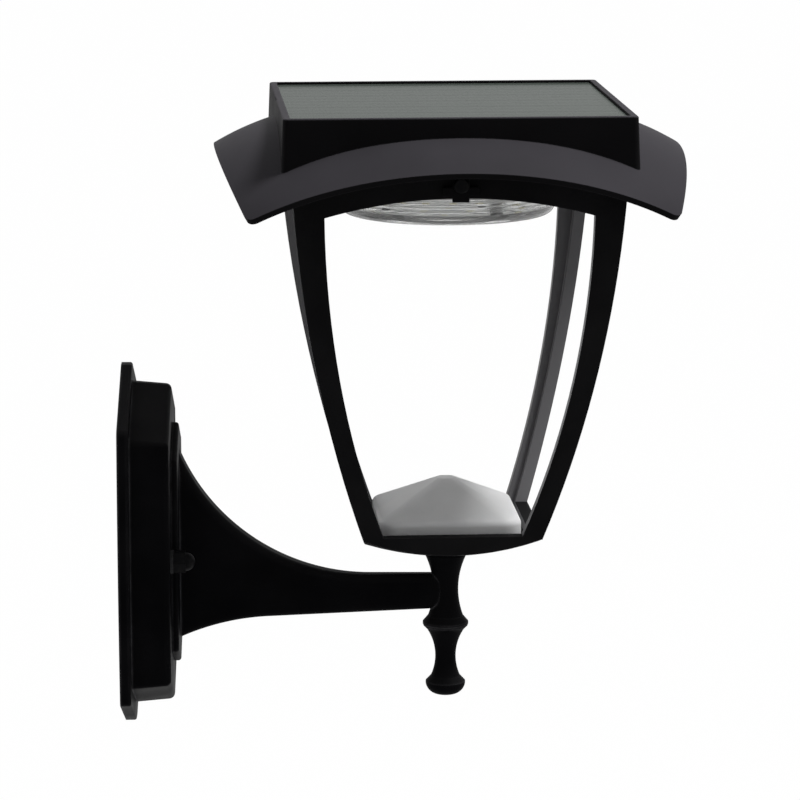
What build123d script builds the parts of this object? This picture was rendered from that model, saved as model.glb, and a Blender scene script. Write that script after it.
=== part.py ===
from build123d import *
import math
import os

# Solar wall light. Millimetres, +Z up. The origin is the middle of the wall plate's back face,
# +X points out of the wall to the lantern, whose upright axis is REACH from the wall.
os.makedirs("parts", exist_ok=True)

# Overall places
REACH = 161.5
BOX_TOP = 222.7
HEAD_TURN = 2.6

# Clearances
SLIP = 0.3
RUN = 0.05
THREAD_GAP = 0.05

# Wall plate, a tall hexagon with blunt ends and bowed long sides
PLATE_HALF_H = 91.2
PLATE_HALF_W = 61.0
PLATE_SHOULDER_H = 68.0
PLATE_END_HALF = 4.0
PLATE_BOW = 4.0
FLANGE_T = 5.5
FLANGE_RIM = 8.5
PLATE_DEPTH = 24.8
PLATE_DRAFT = 5.0
PLATE_WALL = 2.5
PLATE_CORNER_R = 4.0
PLATE_EDGE_R = 3.0
FLANGE_EDGE_R = 1.2

# Wall gasket in a groove of the rim
GASKET_INSET = 3.0
GASKET_W = 3.0
GASKET_T = 1.5
GASKET_GAP = 0.15

# Wall bracket with its studs, washers and cap nuts
BRACKET_T = 2.5
BRACKET_END = 7.0
BRACKET_W = 20.0
SLOT_OFFSET = 22.0
SLOT_R = 2.6
SLOT_L = 11.0
STUD_R = 3.0
STUD_GAP = 1.2
STUD_BEYOND = 6.0
WASHER_T = 1.5
WASHER_R = 5.8
NUT_FLAT = 10.0
NUT_HEX_H = 6.0
NUT_DOME_R = 4.6

# Arm casting: foot pad, curved arm and turned stem
FOOT_INSET = 20.5
FOOT_T = 3.4
FOOT_EDGE_R = 1.5
ARM_ROOT_W = 18.0
ARM_END_W = 11.0
ARM_TOP_Z = -16.7
ARM_LOW_Z = -34.5
ARM_LOW_FALL = 3.2
ARM_TOP_RUN = 95.0
ARM_LOW_RUN = 44.0
ARM_ROOT_TOP_Z = 47.0
ARM_ROOT_LOW_Z = -47.8
ARM_EDGE_R = 4.5
STEM_TOP_R = 10.3
STEM_LIP = 3.0
STEM_NECK_R = 6.4
STEM_NECK_RISE = 19.6
STEM_FOOT_R = 8.8
RIDGE_R = 11.5
RIDGE_FLARE_H = 3.2
RIDGE_EDGE_H = 1.2
STEM_BOTTOM_Z = -42.9

# Screws from inside the plate into the arm
ARM_SCREW_R = 2.5
ARM_SCREW_L = 14.0
ARM_SCREW_ZS = (8.0, -30.0)
SCREW_HEAD_RATIO = 1.9
SCREW_HEAD_H = 2.4

# Finial and the tie rod
FINIAL_SEAM = 0.3
FINIAL_EDGE_H = 0.7
FINIAL_SHOULDER_R = 9.4
FINIAL_SHOULDER_H = 1.8
FINIAL_NECK_R = 5.3
FINIAL_NECK_DROP = 13.9
FINIAL_FLARE_R = 7.3
FINIAL_FLARE_DROP = 26.8
KNOB_R = 10.0
KNOB_TOP_H = 2.9
KNOB_EDGE_H = 1.0
KNOB_LOW_H = 5.6
KNOB_FLAT_R = 3.0
ROD_R = 3.0
ROD_IN_FINIAL = 15.0
TIE_WASHER_T = 1.2
TIE_WASHER_R = 9.0
TIE_NUT_FLAT = 10.0
TIE_NUT_H = 5.0
ROD_BEYOND = 1.6

# Cage: square plan, sides bowed outward
CAGE_LOW_HALF = 44.0
CAGE_LOW_Z = 9.7
CAGE_HIGH_HALF = 79.0
CAGE_HIGH_DROP = 43.7
CAGE_BOW = 5.5
CAGE_WALL = 6.0
FLOOR_DROP = 1.0
TRAY_T = 4.0
TRAY_LEDGE = 7.0
CAGE_SAG = 7.0
POST_LOW_W = 10.5
POST_HIGH_W = 14.3
SILL_RISE = 2.0
HEADER_MID_DROP = 38.8
HEADER_END_DROP = 47.7

# Reflector pyramid in the tray
PYRAMID_GAP = 2.1
PYRAMID_SKIRT = 8.0
PYRAMID_RISE = 16.1
PYRAMID_TIP_HALF = 4.0
PYRAMID_TIP_R = 3.0
PYRAMID_CORNER_R = 9.0
PYRAMID_WALL = 2.0
PYRAMID_EDGE_R = 3.5

# Roof: flat crown, round dome, four sides leaning outward
CROWN_DROP = 4.6
CROWN_R = 48.7
DOME_R = 130.0
ROOF_T = 3.0
EAVE_CORNER_HALF = 101.7
EAVE_CORNER_DROP = 46.0
EAVE_MID_HALF = 114.5
EAVE_MID_DROP = 22.5
EAVE_CORNER_R = 5.0

# Panel box on the roof
BOX_HALF = 84.0
BOX_DRAFT = 0.038
BOX_CORNER_R = 2.5
BOX_WALL = 3.5
BOX_EDGE_R = 0.8
GLASS_RECESS = 1.2
GLASS_T = 3.0
SEAL_T = 1.0
LEDGE_W = 5.5
LEDGE_T = 2.5
BOARD_T = 1.6
CELL_T = 0.4
CELL_ROWS = 6
CELL_GAP = 1.2
CELL_MARGIN = 3.0
PILLAR_R = 4.5
PILLAR_INSET = 8.2
PILLAR_WEB = 8.0

# Lugs that hang from the roof in front of the headers
LUG_W = 8.0
LUG_T = 2.2
LUG_LOW_DROP = 40.4
LUG_FOOT_W = 17.0
LUG_FOOT_H = 4.2
LUG_FOOT_RISE = 3.0
LUG_SCREW_RISE = 8.4
LUG_SCREW_R = 2.0
PIP_R = 0.9
PIP_EDGE = 0.4
PIP_SINK = 0.2
PIP_RISE = 13.4

# Lamp pan, which closes the roof from below
PAN_DROP = 40.5
PAN_T = 2.5
PAN_RIM_H = 8.0
PAN_RIM_T = 2.0
PAN_GAP = 0.5
PAN_CORNER_R = 5.0
PAN_SCREW_R = 1.7
PAN_SCREW_L = 17.0

# Lamp
LED_BOARD_GAP = 6.0
LED_SIZE = 3.0
LED_H = 0.8
LED_OUTER_INSET = 8.0
LED_OUTER_COUNT = 18
LED_INNER_R = 13.0
LED_INNER_COUNT = 6
LENS_R = 56.5
LENS_DRAFT = 3.0
LENS_FLANGE_W = 6.0
LENS_FLANGE_T = 2.5
LENS_DEPTH = 18.5
LENS_CROWN = 3.0
LENS_EDGE_R = 5.0
LENS_T = 2.2
LENS_RINGS = 9
LENS_SIDE_RINGS = 4
LENS_RING_H = 0.25
LENS_SCREW_R = 1.4
LENS_SCREW_COUNT = 4
SMALL_SCREW_R = 1.1
LED_SCREW_OFFSET = 30.0
LED_SCREW_COUNT = 3

# Mode button in the lens
BUTTON_X = 25.0
BUTTON_Y = 2.0
BUTTON_R = 2.6
BUTTON_FLANGE_R = 3.8
BUTTON_FLANGE_T = 1.0
BUTTON_OUT = 1.4
BUTTON_GAP = 0.15
BUTTON_TRAVEL = 1.2
BUTTON_PIN_R = 1.8
BUTTON_PIN_L = 2.0
COLLAR_WALL = 2.0
COLLAR_OUT = 1.0
SWITCH_SIZE = 6.0
SWITCH_H = 2.5

# Electronics on the pan
CELL_R = 9.2
CELL_L = 65.0
CELL_Y = 24.0
HOLDER_WALL = 1.8
HOLDER_H = 11.0
CONTACT_T = 0.6
CONTROL_L = 62.0
CONTROL_W = 36.0
CONTROL_Y = -26.0
STANDOFF_H = 4.0
STANDOFF_R = 3.0
CONTROLLER_SIZE = (10.0, 10.0, 1.6)
CONTROLLER_PLACE = (-10.0, -4.0)
DRIVER_SIZE = (5.0, 6.0, 1.6)
DRIVER_PLACE = (6.0, -6.0)
INDUCTOR_SIZE = (4.0, 5.0)
INDUCTOR_PLACE = (16.0, -5.0)
CAPACITOR_SIZE = (3.2, 9.0)
CAPACITOR_PLACE = (-22.0, -2.0)
CONNECTOR_L = 8.0
CONNECTOR_W = 5.0
CONNECTOR_H = 5.0
CONNECTOR_SPACING = 16.0
WIRE_R = 0.8
WIRE_PITCH = 3.0
WIRE_BEND = 4.0

HEAD = Pos(REACH, 0, 0) * Rot(0, 0, HEAD_TURN)

# Heights and half-widths that follow from the sizes above
floor_z = CAGE_LOW_Z - FLOOR_DROP
seat_z = CAGE_LOW_Z - 2 * CAGE_SAG
cage_high_z = BOX_TOP - CAGE_HIGH_DROP
pan_z = BOX_TOP - PAN_DROP
pan_top = pan_z + PAN_T
stud_offset = PLATE_HALF_W + PLATE_BOW - FLANGE_RIM - FOOT_INSET + WASHER_R + STUD_GAP


def save(name, shape):
    export_step(shape, f"parts/{name}.step")


def slab(sketch, low, high):
    """A plan sketch made solid between two heights."""
    return extrude(Pos(0, 0, low) * sketch, high - low)


def out_of_wall(sketch, near, far):
    """A sketch in the wall's plane made solid between two distances from the wall."""
    return extrude(Plane.YZ.offset(near) * sketch, far - near)


def ring_plan(half, width, corner_r):
    """A square frame in plan."""
    inner_r = max(corner_r - width, 0.5)
    outer = RectangleRounded(2 * half, 2 * half, corner_r)
    return outer - RectangleRounded(2 * (half - width), 2 * (half - width), inner_r)


def pan_screw(radius, length, head_r, head_h):
    """A screw pointing up from a head whose top face is at height 0."""
    head = Pos(0, 0, -head_h) * Cylinder(head_r, head_h, align=(Align.CENTER, Align.CENTER, Align.MIN))
    head = fillet(head.edges().group_by(Axis.Z)[0], head_h * 0.45)
    shank = Cylinder(radius, length, align=(Align.CENTER, Align.CENTER, Align.MIN))
    return head + shank


def corners(offset):
    return [(x, y) for x in (-offset, offset) for y in (-offset, offset)]


# Outline of the wall plate in the wall's plane
def plate_outline(inset):
    half_w, half_h, bowed_w = PLATE_HALF_W, PLATE_HALF_H, PLATE_HALF_W + PLATE_BOW
    high, low = PLATE_SHOULDER_H, -PLATE_SHOULDER_H
    with BuildSketch() as outline:
        with BuildLine():
            Polyline((-half_w, high), (-PLATE_END_HALF, half_h), (PLATE_END_HALF, half_h), (half_w, high))
            ThreePointArc((half_w, high), (bowed_w, 0), (half_w, low))
            Polyline((half_w, low), (PLATE_END_HALF, -half_h), (-PLATE_END_HALF, -half_h), (-half_w, low))
            ThreePointArc((-half_w, low), (-bowed_w, 0), (-half_w, high))
        make_face()
        if inset > 0:
            offset(amount=-inset, mode=Mode.REPLACE)
        fillet(outline.vertices(), PLATE_CORNER_R)
    return outline.sketch


# Wall plate: a rim against the wall and a hollow raised body
flange = out_of_wall(plate_outline(0), 0, FLANGE_T)
flange = fillet(flange.faces().sort_by(Axis.X)[-1].edges(), FLANGE_EDGE_R)
body = extrude(Plane.YZ * plate_outline(FLANGE_RIM), PLATE_DEPTH, taper=PLATE_DRAFT)
body = fillet(body.faces().sort_by(Axis.X)[-1].edges(), PLATE_EDGE_R)
cavity_plan = Plane.YZ * plate_outline(FLANGE_RIM + PLATE_WALL)
cavity = extrude(cavity_plan, PLATE_DEPTH - PLATE_WALL, taper=PLATE_DRAFT)
groove_plan = plate_outline(GASKET_INSET) - plate_outline(GASKET_INSET + GASKET_W)
wall_plate = flange + body - cavity - out_of_wall(groove_plan, 0, GASKET_T)
stud_places = [(side * stud_offset, 0) for side in (-1, 1)]
screw_places = [(0, z) for z in ARM_SCREW_ZS]
for y, z in stud_places:
    wall_plate -= out_of_wall(Pos(y, z) * Circle(STUD_R + SLIP), 0, PLATE_DEPTH)
for y, z in screw_places:
    wall_plate -= out_of_wall(Pos(y, z) * Circle(ARM_SCREW_R + SLIP), 0, PLATE_DEPTH)
save("wall_plate", wall_plate)

# Gasket that lies in the rim's groove, flush with the wall
gasket_outer = plate_outline(GASKET_INSET + GASKET_GAP)
gasket_inner = plate_outline(GASKET_INSET + GASKET_W - GASKET_GAP)
save("wall_gasket", out_of_wall(gasket_outer - gasket_inner, 0, GASKET_T))

# Bracket that is screwed to the wall, with two slots for the wall screws
bracket_plan = RectangleRounded(2 * (stud_offset + BRACKET_END), BRACKET_W, BRACKET_END)
bracket = out_of_wall(bracket_plan, 0, BRACKET_T)
for side in (-1, 1):
    slot = Pos(side * SLOT_OFFSET, 0) * SlotOverall(SLOT_L, 2 * SLOT_R)
    bracket -= out_of_wall(slot, 0, BRACKET_T)
save("wall_bracket", bracket)

# Studs welded to the bracket, with a rubber washer and a cap nut on each
washer_x = PLATE_DEPTH + WASHER_T
stud_end = washer_x + STUD_BEYOND
studs = [out_of_wall(Pos(y, z) * Circle(STUD_R), BRACKET_T, stud_end) for y, z in stud_places]
save("bracket_studs", Compound(studs))
washer_plan = Circle(WASHER_R) - Circle(STUD_R + SLIP)
washers = [out_of_wall(Pos(y, z) * washer_plan, PLATE_DEPTH, washer_x) for y, z in stud_places]
save("stud_washers", Compound(washers))


def cap_nut(y, z):
    hexagon = RegularPolygon(NUT_FLAT / 2, 6, major_radius=False)
    nut = out_of_wall(Pos(y, z) * hexagon, washer_x, washer_x + NUT_HEX_H)
    dome = Pos(washer_x + NUT_HEX_H, y, z) * Sphere(NUT_DOME_R)
    nut += dome - Pos(washer_x - NUT_DOME_R, y, z) * Box(2 * NUT_HEX_H, NUT_FLAT * 2, NUT_FLAT * 2)
    return nut - out_of_wall(Pos(y, z) * Circle(STUD_R + THREAD_GAP), washer_x, stud_end + SLIP)


save("cap_nuts", Compound([cap_nut(y, z) for y, z in stud_places]))

# Arm casting: the side view of the arm, from the foot pad to the stem
foot_x = PLATE_DEPTH + FOOT_T
top_bend_x = foot_x + ARM_TOP_RUN
top_rise = ARM_ROOT_TOP_Z - ARM_TOP_Z
top_r = (ARM_TOP_RUN**2 + top_rise**2) / (2 * top_rise)
low_bend = (foot_x + ARM_LOW_RUN, ARM_LOW_Z - ARM_LOW_FALL)
low_slope = (low_bend[0] - REACH, low_bend[1] - ARM_LOW_Z)
with BuildSketch(Plane.XZ) as arm_side:
    with BuildLine():
        Line((PLATE_DEPTH, ARM_ROOT_LOW_Z), (PLATE_DEPTH, ARM_ROOT_TOP_Z))
        Line((PLATE_DEPTH, ARM_ROOT_TOP_Z), (foot_x, ARM_ROOT_TOP_Z))
        RadiusArc((foot_x, ARM_ROOT_TOP_Z), (top_bend_x, ARM_TOP_Z), -top_r)
        Polyline((top_bend_x, ARM_TOP_Z), (REACH, ARM_TOP_Z), (REACH, ARM_LOW_Z), low_bend)
        TangentArc(low_bend, (foot_x, ARM_ROOT_LOW_Z), tangent=low_slope)
        Line((foot_x, ARM_ROOT_LOW_Z), (PLATE_DEPTH, ARM_ROOT_LOW_Z))
    make_face()
with BuildSketch() as arm_plan:
    with BuildLine():
        Polyline(
            (PLATE_DEPTH, -ARM_ROOT_W / 2), (REACH, -ARM_END_W / 2), (REACH, ARM_END_W / 2),
            (PLATE_DEPTH, ARM_ROOT_W / 2), close=True
        )
    make_face()
arm = extrude(arm_side.sketch, ARM_ROOT_W, both=True)
arm &= slab(arm_plan.sketch, ARM_ROOT_LOW_Z, ARM_ROOT_TOP_Z)
side_edges = arm.edges().filter_by_position(Axis.X, foot_x, REACH)
long_edges = side_edges.filter_by(lambda e: e.length > ARM_ROOT_W and abs(e.tangent_at(0.5).Y) < 0.1)
arm = fillet(long_edges, ARM_EDGE_R)

# Foot pad with the plate's own outline, and the turned stem
foot = out_of_wall(plate_outline(FLANGE_RIM + FOOT_INSET), PLATE_DEPTH, foot_x)
foot = fillet(foot.faces().sort_by(Axis.X)[-1].edges(), FOOT_EDGE_R)
neck_z = STEM_BOTTOM_Z + STEM_NECK_RISE
ridge_z = STEM_BOTTOM_Z + RIDGE_EDGE_H
flare_top = ridge_z + RIDGE_FLARE_H
with BuildSketch(Plane.XZ) as stem_half:
    with BuildLine():
        Polyline((0, seat_z), (STEM_TOP_R, seat_z), (STEM_TOP_R, seat_z - STEM_LIP))
        ThreePointArc((STEM_TOP_R, seat_z - STEM_LIP), (STEM_NECK_R, neck_z), (STEM_FOOT_R, flare_top))
        Polyline((STEM_FOOT_R, flare_top), (RIDGE_R, ridge_z), (RIDGE_R, STEM_BOTTOM_Z))
        Polyline((RIDGE_R, STEM_BOTTOM_Z), (0, STEM_BOTTOM_Z), (0, seat_z))
    make_face()
stem = HEAD * revolve(stem_half.sketch, Axis.Z)
rod_bore = HEAD * slab(Circle(ROD_R + SLIP), STEM_BOTTOM_Z, seat_z)
arm_casting = arm + foot + stem - rod_bore
screw_tip = PLATE_DEPTH + ARM_SCREW_L
for y, z in screw_places:
    bore = Pos(y, z) * Circle(ARM_SCREW_R + THREAD_GAP)
    arm_casting -= out_of_wall(bore, PLATE_DEPTH, screw_tip + SLIP)
save("arm", arm_casting)

# Screws from inside the plate, their heads against the plate's front wall
head_x = PLATE_DEPTH - PLATE_WALL
arm_head_r = ARM_SCREW_R * SCREW_HEAD_RATIO
arm_screw = pan_screw(ARM_SCREW_R, PLATE_WALL + ARM_SCREW_L, arm_head_r, SCREW_HEAD_H)
turned = Rot(0, 90, 0) * arm_screw
save("arm_screws", Compound([Pos(head_x, y, z) * turned for y, z in screw_places]))

# Finial: a turned knob on the end of the tie rod
rod_low = STEM_BOTTOM_Z - ROD_IN_FINIAL
finial_neck_z = STEM_BOTTOM_Z - FINIAL_NECK_DROP
flare_z = STEM_BOTTOM_Z - FINIAL_FLARE_DROP
knob_top = flare_z - KNOB_TOP_H
knob_z = knob_top - KNOB_EDGE_H
finial_low = knob_z - KNOB_LOW_H
knob_turn_r = KNOB_FLAT_R + (KNOB_R - KNOB_FLAT_R) * math.sqrt(0.5)
knob_turn_z = knob_z - KNOB_LOW_H * math.sqrt(0.5)
finial_top_r = RIDGE_R - FINIAL_SEAM
finial_edge_z = STEM_BOTTOM_Z - FINIAL_EDGE_H
shoulder = (FINIAL_SHOULDER_R, finial_edge_z - FINIAL_SHOULDER_H)
with BuildSketch(Plane.XZ) as finial_half:
    with BuildLine():
        Polyline((0, STEM_BOTTOM_Z), (finial_top_r, STEM_BOTTOM_Z), (finial_top_r, finial_edge_z), shoulder)
        ThreePointArc(shoulder, (FINIAL_NECK_R, finial_neck_z), (FINIAL_FLARE_R, flare_z))
        Polyline((FINIAL_FLARE_R, flare_z), (KNOB_R, knob_top), (KNOB_R, knob_z))
        ThreePointArc((KNOB_R, knob_z), (knob_turn_r, knob_turn_z), (KNOB_FLAT_R, finial_low))
        Polyline((KNOB_FLAT_R, finial_low), (0, finial_low), (0, STEM_BOTTOM_Z))
    make_face()
finial = revolve(finial_half.sketch, Axis.Z)
finial -= slab(Circle(ROD_R + THREAD_GAP), rod_low - SLIP, STEM_BOTTOM_Z)
save("finial", HEAD * finial)

# Tie rod from the finial up into the tray, with its washer and nut
washer_top = floor_z + TIE_WASHER_T
nut_top = washer_top + TIE_NUT_H
rod_top = nut_top + ROD_BEYOND
save("tie_rod", HEAD * slab(Circle(ROD_R), rod_low, rod_top))
tie_washer_plan = Circle(TIE_WASHER_R) - Circle(ROD_R + THREAD_GAP)
save("tie_washer", HEAD * slab(tie_washer_plan, floor_z, washer_top))
tie_nut_plan = RegularPolygon(TIE_NUT_FLAT / 2, 6, major_radius=False) - Circle(ROD_R + THREAD_GAP)
save("tie_nut", HEAD * slab(tie_nut_plan, washer_top, nut_top))


# Cage: both side views have the same bowed outline, and the cage is what lies inside both
chord_x = CAGE_HIGH_HALF - CAGE_LOW_HALF
chord_z = cage_high_z - CAGE_LOW_Z
chord = math.hypot(chord_x, chord_z)
side_r = (chord / 2) ** 2 / (2 * CAGE_BOW) + CAGE_BOW / 2
side_cx = (CAGE_LOW_HALF + CAGE_HIGH_HALF) / 2 - chord_z / chord * (side_r - CAGE_BOW)
side_cz = (CAGE_LOW_Z + cage_high_z) / 2 + chord_x / chord * (side_r - CAGE_BOW)


def cage_half(z, inset=0.0):
    """Half of the cage's width at a height, drawn in by an inset square to its bowed side."""
    return side_cx + math.sqrt((side_r - inset) ** 2 - (z - side_cz) ** 2)


def cage_column(low, high, inset=0.0):
    """The square, bowed column between two heights."""
    middle = (low + high) / 2
    side = [(cage_half(z, inset), z) for z in (low, middle, high)]
    other = [(-x, z) for x, z in reversed(side)]
    views = []
    for plane in (Plane.XZ, Plane.YZ):
        with BuildSketch(plane) as view:
            with BuildLine():
                ThreePointArc(*side)
                Line(side[-1], other[0])
                ThreePointArc(*other)
                Line(other[-1], side[0])
            make_face()
        views.append(extrude(view.sketch, CAGE_HIGH_HALF * 2, both=True))
    return views[0] & views[1]


def dome(inset):
    """Everything below the roof's round surface, drawn in by an inset."""
    top = BOX_TOP - CROWN_DROP
    low = top - DOME_R
    reach = DOME_R - inset
    lean = math.radians(75)
    mid = (CROWN_R + reach * math.sin(lean / 2), low + reach * math.cos(lean / 2))
    end = (CROWN_R + reach * math.sin(lean), low + reach * math.cos(lean))
    with BuildSketch(Plane.XZ) as half:
        with BuildLine():
            Polyline((0, seat_z - DOME_R), (0, low + reach), (CROWN_R, low + reach))
            ThreePointArc((CROWN_R, low + reach), mid, end)
            Polyline(end, (end[0], seat_z - DOME_R), (0, seat_z - DOME_R))
        make_face()
    return revolve(half.sketch, Axis.Z)


sag_r = CAGE_LOW_HALF**2 / (2 * CAGE_SAG) + CAGE_SAG / 2
bowl = Pos(0, 0, seat_z + sag_r) * Sphere(sag_r)
bowl += slab(Rectangle(4 * CAGE_HIGH_HALF, 4 * CAGE_HIGH_HALF), CAGE_LOW_Z, BOX_TOP)
column = cage_column(seat_z, BOX_TOP) & bowl
hollow = cage_column(floor_z, BOX_TOP, CAGE_WALL)
cage = column - hollow
tray_half = cage_half(floor_z, CAGE_WALL) - TRAY_LEDGE
tray = slab(Rectangle(2 * tray_half, 2 * tray_half), seat_z, floor_z)
cage -= tray & Pos(0, 0, seat_z + sag_r) * Sphere(sag_r - TRAY_T)

# Windows between the posts, under the arched headers
sill_z = CAGE_LOW_Z + SILL_RISE
header_mid_z = BOX_TOP - HEADER_MID_DROP
header_end_z = BOX_TOP - HEADER_END_DROP
window_mid = (sill_z + header_end_z) / 2
window_side = [
    (cage_half(sill_z) - POST_LOW_W, sill_z),
    (cage_half(window_mid) - POST_LOW_W, window_mid),
    (cage_half(header_end_z) - POST_HIGH_W, header_end_z),
]
window_other = [(-x, z) for x, z in reversed(window_side)]
for plane in (Plane.XZ, Plane.YZ):
    with BuildSketch(plane) as window:
        with BuildLine():
            ThreePointArc(*window_side)
            ThreePointArc(window_side[-1], (0, header_mid_z), window_other[0])
            ThreePointArc(*window_other)
            Line(window_other[-1], window_side[0])
        make_face()
    cage -= extrude(window.sketch, CAGE_HIGH_HALF * 2, both=True)
cage &= dome(ROOF_T + SLIP)
cage += slab(Circle(STEM_TOP_R), seat_z, floor_z)
cage -= slab(Circle(ROD_R + RUN), seat_z, floor_z)
lug_low = BOX_TOP - LUG_LOW_DROP
lug_screw_z = lug_low + LUG_SCREW_RISE
lug_hole = Plane.XZ * Pos(0, lug_screw_z) * Circle(LUG_SCREW_R + THREAD_GAP)
cage -= extrude(lug_hole, CAGE_HIGH_HALF * 2, both=True)
save("cage", HEAD * cage)

# Reflector pyramid: a thin opal shell that stands on the tray
def pyramid(half, corner_r, skirt_top, tip_z):
    base = RectangleRounded(2 * half, 2 * half, corner_r)
    tip = RectangleRounded(2 * PYRAMID_TIP_HALF, 2 * PYRAMID_TIP_HALF, PYRAMID_TIP_R)
    slope = loft([Pos(0, 0, skirt_top) * base, Pos(0, 0, tip_z) * tip], ruled=True)
    return slab(base, floor_z, skirt_top) + slope


pyramid_half = cage_half(floor_z, CAGE_WALL) - PYRAMID_GAP
skirt_top = floor_z + PYRAMID_SKIRT
tip_z = skirt_top + PYRAMID_RISE
solid_pyramid = pyramid(pyramid_half, PYRAMID_CORNER_R, skirt_top, tip_z)
solid_pyramid = fillet(solid_pyramid.faces().sort_by(Axis.Z)[-1].edges(), PYRAMID_TIP_R)
skirt_edges = solid_pyramid.edges().filter_by_position(Axis.Z, skirt_top - SLIP, skirt_top + SLIP)
solid_pyramid = fillet(skirt_edges, PYRAMID_EDGE_R)
inner_half = pyramid_half - PYRAMID_WALL
inner_corner_r = PYRAMID_CORNER_R - PYRAMID_WALL
reflector = solid_pyramid - pyramid(
    inner_half, inner_corner_r, skirt_top - PYRAMID_WALL / 2, tip_z - PYRAMID_WALL
)
save("reflector_pyramid", HEAD * reflector)

# Roof: the round sheet cut to four eaves that lean outward, with the panel box on it
eave_lean = (EAVE_MID_HALF - EAVE_CORNER_HALF) / (EAVE_CORNER_DROP - EAVE_MID_DROP)


def eave_plan(z):
    half = EAVE_CORNER_HALF + eave_lean * (z - (BOX_TOP - EAVE_CORNER_DROP))
    return Pos(0, 0, z) * RectangleRounded(2 * half, 2 * half, EAVE_CORNER_R)


def box_plan(z):
    half = BOX_HALF + BOX_DRAFT * (BOX_TOP - z)
    return Pos(0, 0, z) * RectangleRounded(2 * half, 2 * half, BOX_CORNER_R)


eave_low = BOX_TOP - 2 * EAVE_CORNER_DROP
sheet = dome(0) & loft([eave_plan(eave_low), eave_plan(BOX_TOP)], ruled=True)
box = loft([box_plan(eave_low), box_plan(BOX_TOP)], ruled=True)
box = fillet(box.faces().sort_by(Axis.Z)[-1].edges(), BOX_EDGE_R)
glass_half = BOX_HALF - BOX_WALL
opening_half = glass_half - LEDGE_W
glass_top = BOX_TOP - GLASS_RECESS
glass_low = glass_top - GLASS_T
ledge_z = glass_low - SEAL_T
well = slab(RectangleRounded(2 * glass_half, 2 * glass_half, BOX_CORNER_R / 2), ledge_z, BOX_TOP)

# The underside is hollow down to the pan, apart from four screw pillars
pan_half = cage_half(pan_z, CAGE_WALL) - PAN_GAP
pillar_offset = pan_half - PILLAR_INSET
hollow = dome(ROOF_T)
for x, y in corners(pillar_offset):
    hollow -= Pos(x, y) * slab(Circle(PILLAR_R), pan_top, BOX_TOP)
roof = sheet + box - well - hollow

# Room for the panel inside its ledge, and a hatch in the sheet that stops short of the pillars
ledge_low = ledge_z - LEDGE_T
room_plan = Rectangle(2 * opening_half, 2 * opening_half)
roof -= slab(room_plan, eave_low, BOX_TOP) - dome(0)
roof -= slab(room_plan, ledge_low, BOX_TOP)
hatch_half = pan_half - PAN_RIM_T
hatch_cross = math.sqrt(2) * (2 * pillar_offset - PILLAR_WEB)
hatch = Rectangle(2 * hatch_half, 2 * hatch_half) & Rot(0, 0, 45) * Rectangle(hatch_cross, hatch_cross)
roof -= slab(hatch, eave_low, ledge_low)
for x, y in corners(pillar_offset):
    roof -= Pos(x, y) * slab(Circle(PAN_SCREW_R + THREAD_GAP), pan_top, pan_z + PAN_SCREW_L + SLIP)

# Lugs with a wide foot and two pips, which the clamp screws go through
lug_band = cage_column(lug_low, BOX_TOP, -SLIP - LUG_T) - cage_column(lug_low, BOX_TOP, -SLIP)
lug_view = Pos(0, (lug_low + BOX_TOP) / 2) * Rectangle(LUG_W, BOX_TOP - lug_low)
lug_view += Pos(0, lug_low + LUG_FOOT_RISE + LUG_FOOT_H / 2) * Rectangle(LUG_FOOT_W, LUG_FOOT_H)
lug_view -= Pos(0, lug_screw_z) * Circle(LUG_SCREW_R + SLIP)
lugs = lug_band & extrude(Plane.XZ * lug_view, 2 * CAGE_HIGH_HALF, both=True)
lugs &= dome(ROOF_T / 2)
pip_z = lug_low + PIP_RISE
pip_x = LUG_W / 2 - PIP_R - PIP_EDGE
side_slab = Box(LUG_FOOT_W * 2, CAGE_HIGH_HALF, BOX_TOP * 2)
for side in (-1, 1):
    roof += lugs & Pos(0, side * CAGE_HIGH_HALF, BOX_TOP) * side_slab
    pip_y = side * (cage_half(pip_z, -SLIP - LUG_T) - PIP_SINK)
    for x in (-pip_x, pip_x):
        roof += Pos(x, pip_y, pip_z) * Sphere(PIP_R)
save("roof_shell", HEAD * roof)

# Clamp screws through the lugs into the headers, front and back
lug_head_r = LUG_SCREW_R * SCREW_HEAD_RATIO
lug_face = cage_half(lug_screw_z + lug_head_r, -SLIP - LUG_T)
lug_screw = pan_screw(LUG_SCREW_R, LUG_T + SLIP + CAGE_WALL, lug_head_r, SCREW_HEAD_H)
front_screw = Pos(0, -lug_face, lug_screw_z) * Rot(-90, 0, 0) * lug_screw
back_screw = Pos(0, lug_face, lug_screw_z) * Rot(90, 0, 0) * lug_screw
save("lug_screws", HEAD * Compound([front_screw, back_screw]))

# Solar panel: glass on a seal, with the cells and their board glued under it
pane = RectangleRounded(2 * (glass_half - SLIP), 2 * (glass_half - SLIP), BOX_CORNER_R / 2)
save("panel_glass", HEAD * slab(pane, glass_low, glass_top))
seal_plan = ring_plan(glass_half - SLIP, LEDGE_W - 2 * SLIP, BOX_CORNER_R / 2)
save("panel_seal", HEAD * slab(seal_plan, ledge_z, glass_low))
board_half = opening_half - 2 * SLIP
cell_low = glass_low - CELL_T
cell_area = 2 * (board_half - CELL_MARGIN)
cell_w = (cell_area - CELL_GAP * (CELL_ROWS - 1)) / CELL_ROWS
cells = []
for row in range(CELL_ROWS):
    cell_y = -cell_area / 2 + cell_w / 2 + row * (cell_w + CELL_GAP)
    cells.append(slab(Pos(0, cell_y) * Rectangle(cell_area, cell_w), cell_low, glass_low))
save("solar_cells", HEAD * Compound(cells))
board_low = cell_low - BOARD_T
save("panel_board", HEAD * slab(Rectangle(2 * board_half, 2 * board_half), board_low, cell_low))

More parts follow.
